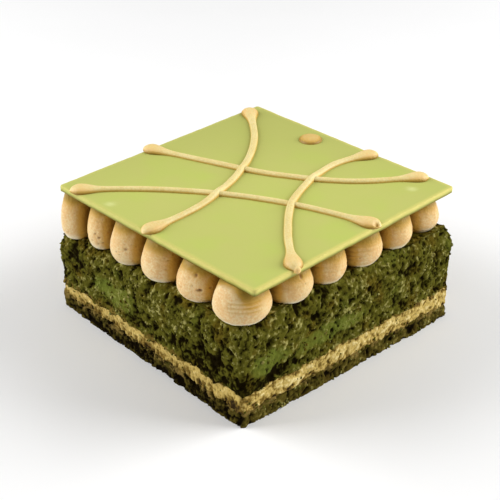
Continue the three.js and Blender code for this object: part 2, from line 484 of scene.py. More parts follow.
@dataclass(frozen=True)
class SpongeFinish:
    """Dark green open crumb, olive on its walls, tan where cream was dragged, with painted shade nearly black
    in its pores and a painted highlight on its outermost crumbs.
    """

    name: str = "sponge_crumb"
    # painted shade in the holes and a painted highlight on the outermost crumbs
    hole: str = "140e00"
    crumb: str = "58551a"
    tip: str = "aba462"
    green: str = "6a772d"
    brown: str = "5e4d14"
    smear: str = "75622a"
    patch_size: float = 6
    blotch_size: float = 2.6
    fleck_size: float = 0.95
    grain_size: float = 0.4
    grain_detail: float = 4
    grain_depth: float = 0.12
    fleck_pull: float = 1.3
    blotch_pull: float = 1.2
    smear_pull: float = 1.6
    brown_range: Range = (0.5, 0.3)
    brown_share: float = 0.7
    crumb_range: Range = (0.05, 0.8)
    tip_range: Range = (0.85, 1.45)
    stray_range: Range = (0.5, 0.75)  # green that shows outside the fresh patches too
    stray_share: float = 0.6
    fresh_range: Range = (0.1, 1.2)
    wall_range: Range = (0.1, 0.5)
    green_share: float = 0.6
    smear_range: Range = (0.4, 0.9)
    roughness: float = 0.9
    shine: float = 0.02

    def make(self) -> bpy.types.Material:
        """Builds the material.

        Returns:
            The new material.
        """
        board = Board(self.name)
        flecks = board.noise(self.fleck_size)
        blotches = board.noise(self.blotch_size)
        patches = board.noise(self.patch_size)
        tip = board.mark(Mark.TIP) + self.fleck_pull * flecks.centred()
        tip = tip + self.blotch_pull * blotches.centred()
        browned = patches.between(*self.brown_range) * self.brown_share
        crumb = board.mix(browned, tint(self.crumb), tint(self.brown))
        dark = board.mix(tip.between(*self.crumb_range), tint(self.hole), crumb)
        light = board.mix(tip.between(*self.tip_range), dark, tint(self.tip))
        fresh = board.mark(Mark.FRESH) + self.stray_share * patches.between(*self.stray_range)
        mossy = fresh.between(*self.fresh_range) * tip.between(*self.wall_range) * self.green_share
        green = board.mix(mossy, light, tint(self.green))
        smear = board.mark(Mark.SMEAR) + self.smear_pull * flecks.centred()
        colour = board.mix(smear.between(*self.smear_range), green, tint(self.smear))
        return board.surface(
            {
                "Base Color": colour,
                "Roughness": self.roughness,
                "Specular IOR Level": self.shine,
                "Normal": board.bump(board.noise(self.grain_size, self.grain_detail), self.grain_depth),
            }
        )


@dataclass(frozen=True)
class FillingFinish:
    """Golden tan cream, rough where it was cut, with pale grains, brown stains and crumbs stuck in it."""

    cream: str = "c8ad60"
    pale: str = "e9d594"
    stain: str = "7f6628"
    crumb: str = "2e1f05"
    stain_size: float = 4
    stain_detail: float = 3
    fleck_size: float = 0.6
    fleck_detail: float = 4
    fleck_pull: float = 1.1
    grain_depth: float = 0.25
    stain_range: Range = (-0.25, 0.2)
    cream_range: Range = (0.15, 0.6)
    pale_range: Range = (0.65, 1.1)
    roughness: float = 0.8
    shine: float = 0.1

    def make(self) -> bpy.types.Material:
        """Builds the material.

        Returns:
            The new material.
        """
        board = Board("filling_cream")
        stains = board.noise(self.stain_size, self.stain_detail)
        flecks = board.noise(self.fleck_size, self.fleck_detail)
        tip = board.mark(Mark.TIP) + self.fleck_pull * flecks.centred() + stains.centred()
        dark = board.mix(tip.between(*self.stain_range), tint(self.crumb), tint(self.stain))
        base = board.mix(tip.between(*self.cream_range), dark, tint(self.cream))
        return board.surface(
            {
                "Base Color": board.mix(tip.between(*self.pale_range), base, tint(self.pale)),
                "Roughness": self.roughness,
                "Specular IOR Level": self.shine,
                "Normal": board.bump(flecks, self.grain_depth),
            }
        )


@dataclass(frozen=True)
class CreamFinish:
    """Smooth piped cream, finely grained, soft tan and browner in patches, with painted shade and painted
    highlights.
    """

    name: str = "piped_cream"
    cream: str = "ecd29b"
    brown: str = "e4b979"
    thick: str = "f3c97f"
    # a painted highlight at the foot of each dot
    foot_highlight: str = "fff2d0"
    # painted shade: amber where cream lies near other cream or under the plaque
    amber_shade: str = "cd9e3c"
    # painted shade: deep brown in the closest crevices
    crevice: str = "7e5912"
    # painted shade under the plaque
    under: str = "9e7e1c"
    # painted shade in burst bubbles
    pit: str = "8a5a2a"
    patch_size: float = 4.5
    patch_detail: float = 3
    grain_size: float = 0.5
    grain_detail: float = 3
    grain_depth: float = 0.13
    grain_pull: float = 1.2
    mottle_range: Range = (0.3, 0.75)
    amber_shade_range: Range = (0, 0.5)
    crevice_range: Range = (0.45, 1)
    under_shade_share: float = 0.8
    pit_shade_share: float = 0.8
    roughness: float = 0.4
    rough_swing: float = 0.2
    glow: float = 0.12
    glow_reach: float = 1.6
    glow_spread: tuple[float, float, float] = (1.0, 0.7, 0.4)
    bloom: float = 0.1
    shine: float = 0.35

    def make(self) -> bpy.types.Material:
        """Builds the material.

        Returns:
            The new material.
        """
        board = Board(self.name)
        patches = board.noise(self.patch_size, self.patch_detail)
        grain = board.noise(self.grain_size, self.grain_detail)
        mottle = (patches + self.grain_pull * grain.centred()).between(*self.mottle_range)
        cream = board.mix(mottle, tint(self.cream), tint(self.brown))
        tan = board.mix(board.mark(Mark.THICK), cream, tint(self.thick))
        foot_highlight = board.mix(board.mark(Mark.FOOT), tan, tint(self.foot_highlight))
        # painted shade where cream lies close to its neighbours, the plaque or what it sits on
        close = board.mark(Mark.CREVICE)
        warm_shade = board.mix(close.between(*self.amber_shade_range), foot_highlight, tint(self.amber_shade))
        deep = board.mix(close.between(*self.crevice_range), warm_shade, tint(self.crevice))
        shaded = board.mix(board.mark(Mark.SHADED) * self.under_shade_share, deep, tint(self.under))
        return board.surface(
            {
                "Base Color": board.mix(board.mark(Mark.PIT) * self.pit_shade_share, shaded, tint(self.pit)),
                "Roughness": self.roughness + self.rough_swing * grain,
                "Specular IOR Level": self.shine,
                "Sheen Weight": self.bloom,
                "Subsurface Weight": self.glow,
                "Subsurface Radius": self.glow_spread,
                "Subsurface Scale": self.glow_reach * MM,
                "Normal": board.bump(grain, self.grain_depth),
            }
        )


@dataclass(frozen=True)
class ChocolateFinish:
    """Satin green chocolate, faintly mottled and pale where rubbed, with a painted highlight along its top
    edge, painted shade on its lower sides and painted shade towards its back corner.
    """

    green: str = "c0c56b"
    yellow: str = "c1c46d"
    lime: str = "bdc964"
    # a painted highlight along the top edge
    edge: str = "ddd277"
    # painted shade on the lower sides and the underside
    below: str = "857c32"
    # painted shade towards the back corner
    dull: str = "b4b764"
    smudge: str = "dfe39a"
    mottle_size: float = 9
    mottle_detail: float = 3
    lime_size: float = 13
    brush_size: float = 2.2
    brush_stretch: tuple[float, float, float] = (6, 1, 1)
    brush_pull: float = 0.3
    grain_depth: float = 0.02
    mottle_range: Range = (0.35, 0.65)
    lime_range: Range = (0.45, 0.8)
    smudge_share: float = 0.6
    roughness: float = 0.5
    rough_swing: float = 0.14
    shine: float = 0.15

    def make(self) -> bpy.types.Material:
        """Builds the material.

        Returns:
            The new material.
        """
        board = Board("green_chocolate")
        mottle = board.noise(self.mottle_size, self.mottle_detail)
        brush = board.noise(self.brush_size, stretch=self.brush_stretch)
        mottle = (mottle + self.brush_pull * brush.centred()).between(*self.mottle_range)
        base = board.mix(mottle, tint(self.green), tint(self.yellow))
        lime = board.mix(board.noise(self.lime_size).between(*self.lime_range), base, tint(self.lime))
        dull = board.mix(board.mark(Mark.DULL), lime, tint(self.dull))
        rim = board.mix(board.mark(Mark.RIM), dull, tint(self.edge))
        side = board.mix(board.mark(Mark.LOWER), rim, tint(self.below))
        return board.surface(
            {
                "Base Color": board.mix(board.mark(Mark.SMUDGE) * self.smudge_share, side, tint(self.smudge)),
                "Roughness": self.roughness + self.rough_swing * brush,
                "Specular IOR Level": self.shine,
                "Normal": board.bump(brush, self.grain_depth),
            }
        )


@dataclass(frozen=True)
class FloorFinish:
    """A plain pale floor with a faint, soft unevenness."""

    pale: str = "f9f9f9"
    shade: str = "f5f5f5"
    patch_size: float = 60
    roughness: float = 0.8
    shine: float = 0.2

    def make(self) -> bpy.types.Material:
        """Builds the material.

        Returns:
            The new material.
        """
        board = Board("pale_floor")
        colour = board.mix(board.noise(self.patch_size), tint(self.pale), tint(self.shade))
        return board.surface(
            {"Base Color": colour, "Roughness": self.roughness, "Specular IOR Level": self.shine}
        )


# The cake's layers


@dataclass(frozen=True)
class Seam:
    """The height where two layers meet: the solids' plane, with waves along it."""

    plane: Plane
    seed: int
    wave_depth: float
    ragged_depth: float
    wave_size: float = 7
    ragged_size: float = 1.7

    def at(self, plan: Points) -> Numbers:
        """Works out the seam's height.

        Args:
            plan: Places seen from above.

        Returns:
            The heights there.
        """
        flat = np.concatenate([plan, np.zeros((*plan.shape[:-1], 1))], -1).reshape(-1, 3)
        grain = Grain(self.seed)
        wave = self.wave_depth * grain.swell(flat, self.wave_size)
        ragged = self.ragged_depth * grain.swell(flat + self.wave_size, self.ragged_size)
        return self.plane.at(plan) + (wave + ragged).reshape(plan.shape[:-1])


@dataclass(frozen=True)
class Patch:
    """A rounded patch of a side: left fresh and green by the knife, darker, or stained."""

    middle: tuple[float, float, float]
    reach: tuple[float, float, float]
    edge: Range = (1.15, 0.45)

    def cover(self, points: Points) -> Numbers:
        """Gives how far places are inside the patch, from 0 to 1 in its middle."""
        away = np.linalg.norm((points - self.middle) / self.reach, axis=-1)
        return ease(away, *self.edge)


def covered(patches: Sequence[Patch], points: Points) -> Numbers:
    """Gives how far places are inside any of the patches, from 0 to 1."""
    return np.max([np.zeros(len(points)), *(patch.cover(points) for patch in patches)], axis=0)


@dataclass(frozen=True)
class Crumb:
    """The cut crumb of the sponge: broad lumps, ragged holes of three sizes, and a fine rough grain."""

    seed: int = 7
    hole_seed_step: int = 100
    lump_size: float = 9
    lump_depth: float = 0.5
    hole_sizes: tuple[float, ...] = (4.5, 2.2, 1.2)
    hole_depths: tuple[float, ...] = (0.4, 0.42, 0.36)
    hole_range: Range = (-0.1, -0.6)
    grain_size: float = 0.8
    grain_depth: float = 0.16
    grain_layers: int = 2
    # how deep a hole is painted fully as shade
    dark_depth: float = 0.7
    wall_tip: float = 0.9
    highest_tip: float = 1.3
    stand_out: float = 0.2
    calm_share: float = 0.5

    def relief(self, points: Points, calm: Numbers) -> tuple[Numbers, Numbers]:
        """Works out how far the torn surface stands out from a clean cut.

        Args:
            points: Places on the clean cut.
            calm: How smooth the knife left each place, from 0 to 1.

        Returns:
            The heights, and where each lies between the holes at 0 and the outermost grains, which the finish
            paints from shade to light.
        """
        grain = Grain(self.seed)
        torn = self.grain_depth * grain.rough(points, self.grain_size, self.grain_layers)
        for step, (size, deep) in enumerate(zip(self.hole_sizes, self.hole_depths), 1):
            hole = Grain(self.seed + self.hole_seed_step * step).rough(points, size)
            torn -= deep * ease(hole, *self.hole_range)
        torn *= 1 - self.calm_share * calm
        lumps = self.lump_depth * grain.swell(points, self.lump_size) + self.stand_out
        return lumps + torn, np.clip(self.wall_tip + torn / self.dark_depth, 0, self.highest_tip)


@dataclass
class Layer:
    """One layer of the cake as rings of points, from the middle of its underside to the middle of its top."""

    low: Seam | Plane
    high: Seam | Plane
    rows: int
    side: float = 70.8
    corner: float = 1.2
    columns: int = 1100
    under_insets: tuple[float, ...] = (9, 4, 1.5)
    over_insets: tuple[float, ...] = (1.5, 4, 9)
    edge_round: float = 0
    edge_from: float = 0.72

    def rings(self) -> tuple[Points, Points, Numbers]:
        """Lays out the layer's clean surface.

        Returns:
            Its points and the directions that its relief stands out in, by ring and by column, and the share
            of its height that each ring is at.
        """
        plan, out = Outline(self.side, self.corner).trace(self.columns)
        rise = np.linspace(0, 1, self.rows + 1)
        worn = self.edge_round * np.clip((rise - self.edge_from) / (1 - self.edge_from), 0, 1) ** 2
        inset = np.concatenate([self.under_insets, worn, worn[-1] + np.array(self.over_insets)])
        share = np.concatenate([np.zeros(len(self.under_insets)), rise, np.ones(len(self.over_insets))])
        flat = plan - out * inset[:, None, None]
        low, high = self.low.at(flat), self.high.at(flat)
        height = low + (high - low) * share[:, None]
        points = np.concatenate([flat, height[..., None]], -1)
        beside = np.concatenate([out, np.zeros((self.columns, 1))], -1)
        over = len(self.under_insets) + self.rows
        direction = np.zeros_like(points)
        direction[len(self.under_insets):over] = beside
        direction[over] = (beside + UP) / math.sqrt(2)
        direction[over + 1:] = UP
        return points, direction, share


@dataclass
class Sponge:
    """A sponge layer with a torn crumb on its sides and round its top."""

    name: str
    node: str
    layer: Layer
    smear_height: float
    smear_reach: float
    smear_share: float = 0.55
    crumb: Crumb = field(default_factory=Crumb)
    patches: Sequence[Patch] = ()
    # patches where the crumb is darker
    dark_patches: Sequence[Patch] = ()
    dark_patches_depth: float = 0.52
    patch_drift_size: float = 3
    patch_drift: float = 1.6
    top_share: float = 0.45
    drag_size: float = 1.3
    drag_stretch: float = 0.35
    drag_depth: float = 0.5
    sweep_size: float = 5
    sweep_depth: float = 0.6
    ledge_tip: float = 0.75
    skin: Skin = field(init=False)

    def build(self, material: bpy.types.Material) -> bpy.types.Object:
        """Builds the layer and gives it its finish.

        Args:
            material: The sponge's finish.

        Returns:
            The new piece.
        """
        points, direction, _ = self.layer.rings()
        spots = points.reshape(-1, 3)
        grain = Grain(self.crumb.seed)
        loose = grain.drift(spots, self.patch_drift_size, self.patch_drift)
        fresh = covered(self.patches, loose)
        height, tip = self.crumb.relief(spots, fresh)
        ways = direction.reshape(-1, 3)
        level = np.where(ways[:, 2] > UPRIGHT, self.top_share, 1.0)
        self.skin = Skin.drum((spots + ways * (height * level)[:, None]).reshape(points.shape))
        self.skin.mark(Mark.TIP, tip - self.dark_patches_depth * covered(self.dark_patches, loose))
        self.skin.mark(Mark.FRESH, fresh)
        drag = self.drag_depth * grain.swell(spots * (1, 1, self.drag_stretch), self.drag_size)
        drag += self.sweep_depth * grain.swell(spots, self.sweep_size)
        near = ease(np.abs(spots[:, 2] - self.smear_height), self.smear_reach, 0)
        self.skin.mark(Mark.SMEAR, near * (self.smear_share + drag))
        return self.skin.piece(self.name, material, Slot.SPONGE, [self.node])

    def ledges(self) -> Points:
        """Finds where crumbs cling.

        Returns:
            The points of the sides' outermost walls.
        """
        half = self.layer.side / 2 - self.layer.edge_round - LEDGE_DEPTH
        outside = np.abs(self.skin.points[:, :2]).max(axis=1) > half
        return self.skin.points[outside & (self.skin.marks[Mark.TIP] > self.ledge_tip)]


@dataclass
class Filling:
    """The cream between the sponges: a rough band, with a lip and streaks under it where it was scraped."""

    name: str
    node: str
    layer: Layer
    stains: Sequence[Patch] = ()
    stain_depth: float = 0.35
    seed: int = 31
    drag_size: float = 6
    drag_depth: float = 0.4
    clot_size: float = 1.1
    clot_depth: float = 0.18
    clot_drift_size: float = 2.4
    clot_drift: float = 0.6
    scraped_share: float = 0.7  # how much the knife scraped the side that faces -X, with 1 for -Y
    lip_from: float = 0.1
    lip_full: float = 0.7
    lip_depth: float = 0.4
    streak_size: float = 1.1
    streak_layers: int = 2
    streak_stretch: float = 0.3
    streak_crest: float = 0.6
    set_in: float = 0.1
    bite_size: float = 1.8
    bite_depth: float = 0.4
    bite_shift: float = 50  # keeps the bites apart from the clots
    upper_border: Range = (0.7, 1.05)
    lower_border: Range = (0.3, -0.05)
    base_tone: float = 0.65
    clot_tone: float = 0.65
    scraped_clot_tone: float = 0.35
    border_tone: float = 0.5
    scraped_tone: float = 0.12
    streak_tone: float = 0.5
    lip_tone: float = 0.33
    skin: Skin = field(init=False)

    def build(self, material: bpy.types.Material) -> bpy.types.Object:
        """Builds the layer and gives it its finish.

        Args:
            material: The filling's finish.

        Returns:
            The new piece.
        """
        points, direction, share = self.layer.rings()
        spots = points.reshape(-1, 3)
        ways = (direction * (direction[..., 2:] < UPRIGHT)).reshape(-1, 3)
        rise = np.repeat(share, self.layer.columns)
        grain = Grain(self.seed)
        clots = grain.rough(grain.drift(spots, self.clot_drift_size, self.clot_drift), self.clot_size)
        scraped = np.clip(-ways[:, 1] - self.scraped_share * ways[:, 0], 0, 1)
        under_lip = scraped * ease(rise, self.lip_full, self.lip_from)
        streaks = grain.rough(spots * (1, 1, self.streak_stretch), self.streak_size, self.streak_layers)
        height = self.drag_depth * grain.swell(spots, self.drag_size) + self.clot_depth * clots - self.set_in
        height += self.lip_depth * under_lip * (streaks - self.streak_crest)
        self.skin = Skin.drum((spots + ways * height[:, None]).reshape(points.shape))
        bites = self.bite_depth * grain.rough(spots + self.bite_shift, self.bite_size)
        border = np.maximum(ease(rise + bites, *self.upper_border), ease(rise - bites, *self.lower_border))
        soaked = self.border_tone * border * (1 - scraped) + self.scraped_tone * scraped
        for stain in self.stains:
            soaked += self.stain_depth * stain.cover(spots)
        clotted = (self.clot_tone - self.scraped_clot_tone * scraped) * clots
        streaked = under_lip * (self.streak_tone * streaks - self.lip_tone)
        self.skin.mark(Mark.TIP, self.base_tone + clotted + streaked - soaked)
        return self.skin.piece(self.name, material, Slot.FILLING, [self.node])

    def ledges(self) -> Points:
        """Gives the points of the sides, where crumbs stick."""
        outside = np.abs(self.skin.points[:, :2]).max(axis=1) > self.layer.side / 2 - LEDGE_DEPTH
        return self.skin.points[outside]


@dataclass
class Crumbs:
    """Small broken lumps that cling to the cake, all of one kind."""

    name: str
    count: int
    smallest: float
    largest: float
    seed: int
    lowest_tip: float = 0.4
    highest_tip: float = 1.1
    flatness: float = 0.6
    crowding: float = 2  # the higher, the more of the lumps are small
    ball_steps: int = 2
    dents: float = 0.4
    dent_size: float = 1.1
    dent_layers: int = 2
    dent_shift: float = 9.7  # from lump to lump, so that no two have the same dents

    def ball(self) -> tuple[Points, Numbers]:
        """Makes a coarse ball of radius 1.

        Returns:
            Its points and its triangles.
        """
        shape = bmesh.new()
        bmesh.ops.create_icosphere(shape, subdivisions=self.ball_steps, radius=1)
        points = np.array([corner.co for corner in shape.verts])
        faces = np.array([[corner.index for corner in face.verts] for face in shape.faces])
        shape.free()
        return points, faces

    def build(self, spots: Points, material: bpy.types.Material) -> bpy.types.Object:
        """Scatters the lumps and gives them their finish.

        Args:
            spots: Places that they may cling to.
            material: Their finish.

        Returns:
            The new piece.
        """
        draw = np.random.default_rng(self.seed)
        ball, faces = self.ball()
        middles = spots[draw.choice(len(spots), self.count, replace=False)]
        radius = self.smallest + (self.largest - self.smallest) * draw.random(self.count) ** self.crowding
        stretch = radius[:, None] * draw.uniform(self.flatness, 1, (self.count, 3))
        turns = np.linalg.qr(draw.normal(size=(self.count, 3, 3)))[0]
        apart = self.dent_shift * np.arange(self.count)[:, None, None]
        dents = Grain(self.seed).rough((ball + apart).reshape(-1, 3), self.dent_size, self.dent_layers)
        lumps = ball * (1 + self.dents * dents).reshape(self.count, -1, 1) * stretch[:, None]
        points = middles[:, None] + np.einsum("nij,nkj->nki", turns, lumps)
        points[..., 2] = np.maximum(points[..., 2], 0)
        numbers = faces + len(ball) * np.arange(self.count)[:, None, None]
        skin = Skin(points.reshape(-1, 3), numbers.reshape(-1, 3).tolist())
        tip = draw.uniform(self.lowest_tip, self.highest_tip, self.count)
        skin.mark(Mark.TIP, np.repeat(tip, len(ball)))
        return skin.piece(self.name, material, Slot.SPONGE)


# The plaque


@dataclass
class Plaque:
    """The thin green plaque, cut square, with soft edges and a surface that isn't quite flat."""

    node: str = "matcha_plaque"
    seed: int = 53
    side: float = 69
    corner: float = 0.4
    thickness: float = 1.7
    top: float = 36.5
    middle: Spot = (0.4, 0.4)
    turn: float = 2.6
    edge: float = 0.3
    columns: int = 420
    edge_steps: int = 4
    side_steps: int = 5
    ring_gap: float = 0.9
    under_gaps: float = 4  # rings of the underside are this many times further apart
    under_rest: float = 1  # how near to the middle the rings of the underside and of the top go
    over_rest: float = 0.5
    wave_size: float = 16
    wave_depth: float = 0.12
    nick_size: float = 2.5
    nick_depth: float = 0.12
    nick_reach: float = 3
    # a painted highlight along the top edge, strongest on the sides that face +X and +Y and near the front
    # corner
    rim_range: Range = (0.6, 0.1)
    rim_tone: float = 0.78
    rim_swing: float = 0.22
    front_range: Range = (45, 15)  # from the front corner
    front_highlight: float = 0.4
    dull_range: Range = (45, 95)  # from the front corner
    lower_shade_range: Range = (-0.4, -0.9)  # in thicknesses
    smudges: tuple[Spot, ...] = ((-17.9, -31.8), (28.1, 26.1))
    smudge_size: float = 1.3
    smudge_edge: Range = (1.4, 0.2)
    smudge_depth: float = 0.5

    def place(self, points: Points) -> Points:
        """Turns and moves points from the plaque's own axes to the cake's.

        Args:
            points: Points with X and Y from the plaque's middle and Z from its top.

        Returns:
            The same points on the cake.
        """
        turn = math.radians(self.turn)
        x = points[..., 0] * math.cos(turn) - points[..., 1] * math.sin(turn)
        y = points[..., 0] * math.sin(turn) + points[..., 1] * math.cos(turn)
        return np.stack([x + self.middle[0], y + self.middle[1], points[..., 2] + self.top], -1)

    def inside(self, points: Points) -> Numbers:
        """Works out how far places are from the plaque's edge, seen from above.

        Args:
            points: Places on the cake.

        Returns:
            The distances, above 0 inside the edge and below 0 beyond it.
        """
        turn = math.radians(self.turn)
        x, y = points[:, 0] - self.middle[0], points[:, 1] - self.middle[1]
        along = np.abs(x * math.cos(turn) + y * math.sin(turn))
        across = np.abs(y * math.cos(turn) - x * math.sin(turn))
        return self.side / 2 - np.maximum(along, across)

    def section(self) -> tuple[Numbers, Numbers]:
        """Lays out the plaque's section from the middle of its underside to the middle of its top.

        Returns:
            How far in from the edge each ring is, and its height under the top.
        """
        swing = np.linspace(0, math.pi / 2, self.edge_steps)
        under = np.arange(self.side / 2 - self.under_rest, self.edge, -self.under_gaps * self.ring_gap)
        over = np.arange(self.edge + self.ring_gap, self.side / 2 - self.over_rest, self.ring_gap)
        low = self.edge * (1 - np.sin(swing))
        rounding = self.edge * (1 - np.cos(swing))
        beside = np.linspace(self.edge - self.thickness, -self.edge, self.side_steps)[1:-1]
        inset = np.concatenate([under, low, np.zeros(len(beside)), low[::-1], over])
        lower = [np.full(len(under), -self.thickness), rounding - self.thickness]
        return inset, np.concatenate([*lower, beside, -rounding[::-1], np.zeros(len(over))])

    def build(self, material: bpy.types.Material) -> bpy.types.Object:
        """Builds the plaque and gives it its finish.

        Args:
            material: The chocolate's finish.

        Returns:
            The new piece.
        """
        plan, out = Outline(self.side, self.corner).trace(self.columns)
        inset, height = self.section()
        flat = plan * (1 - inset[:, None, None] / (self.side / 2))
        points = np.concatenate([flat, np.broadcast_to(height[:, None, None], (*flat.shape[:2], 1))], -1)
        grain = Grain(self.seed)
        spots = points.reshape(-1, 3)
        near = ease(inset, self.nick_reach, 0).repeat(self.columns)
        nicks = self.nick_depth * grain.swell(spots, self.nick_size) * near
        ways = np.concatenate([np.tile(out, (len(inset), 1)), np.zeros((len(spots), 1))], -1)
        moved = spots + ways * nicks[:, None]
        wave = self.wave_depth * grain.swell(spots * (1, 1, 0), self.wave_size)
        moved[:, 2] += np.minimum(wave, 0)
        skin = Skin.drum(self.place(moved.reshape(points.shape)))
        # a painted highlight along the top edge, stronger on the sides facing +X and +Y and near the front
        # corner
        rim = ease(inset, *self.rim_range) * ease(height, self.edge - self.thickness, -self.edge)
        far = np.linalg.norm(spots[:, :2] - (self.side / 2, -self.side / 2), axis=1)
        tone = np.tile(self.rim_tone + self.rim_swing * out.sum(axis=1), len(inset))
        tone = tone + self.front_highlight * ease(far, *self.front_range)
        skin.mark(Mark.RIM, np.minimum(rim.repeat(self.columns) * tone, 1))
        # painted shade on the lower sides and the underside
        lower = ease(height, *(share * self.thickness for share in self.lower_shade_range))
        skin.mark(Mark.LOWER, np.repeat(lower, self.columns))
        # painted shade, darker towards the back corner
        skin.mark(Mark.DULL, ease(far, *self.dull_range))
        gaps = [np.linalg.norm((spots[:, :2] - smudge) / self.smudge_size, axis=1) for smudge in self.smudges]
        on_top = spots[:, 2] > -self.smudge_depth
        skin.mark(Mark.SMUDGE, ease(np.min(gaps, axis=0), *self.smudge_edge) * on_top)
        return skin.piece("green_plaque", material, Slot.CHOCOLATE, [self.node])


# The piped cream


@dataclass(frozen=True)
class Pit:
    """A burst bubble in a dot, placed in degrees round the dot and as a share of its height."""

    azimuth: float
    rise: float
    width: float
    height: float
    depth: float = 0.4
    edge: Range = (1.3, 0.4)

    def cover(self, angle: Numbers, rise: Numbers, radius: float, tall: float) -> Numbers:
        """Works out how far places on a dot are inside the bubble.

        Args:
            angle: The angles of the dot's columns.
            rise: The shares of the dot's height that its rings are at.
            radius: The dot's widest radius.
            tall: The dot's height.

        Returns:
            Numbers from 0 to 1 in the bubble's middle, ring by ring.
        """
        beside = np.radians(swing_from(self.azimuth, angle)) * radius / (self.width / 2)
        above = (rise - self.rise) * tall / (self.height / 2)
        return ease(np.hypot(beside, above[:, None]), *self.edge).ravel()


@dataclass(frozen=True)
class RingPatch:
    """Where a dot shows the nozzle's rings plainly, in degrees round it and as shares of its height."""

    azimuth: float
    spread: float
    low: float
    high: float
    share: float = 2.0
    gap: float = 0.95
    bend: float = 0.6

    def cover(self, angle: Numbers, rise: Numbers) -> Numbers:
        """Works out how plain the rings are.

        Args:
            angle: The angles of the dot's columns.
            rise: The shares of the dot's height that its rings of points are at.

        Returns:
            Numbers from 0 to 1 in the patch's middle, ring by ring.
        """
        middle, half = (self.low + self.high) / 2, (self.high - self.low) / 2
        beside = ease(np.abs(swing_from(self.azimuth, angle)), self.spread, self.spread / 2)
        return (ease(np.abs(rise - middle), half, half / 2)[:, None] * beside).ravel()


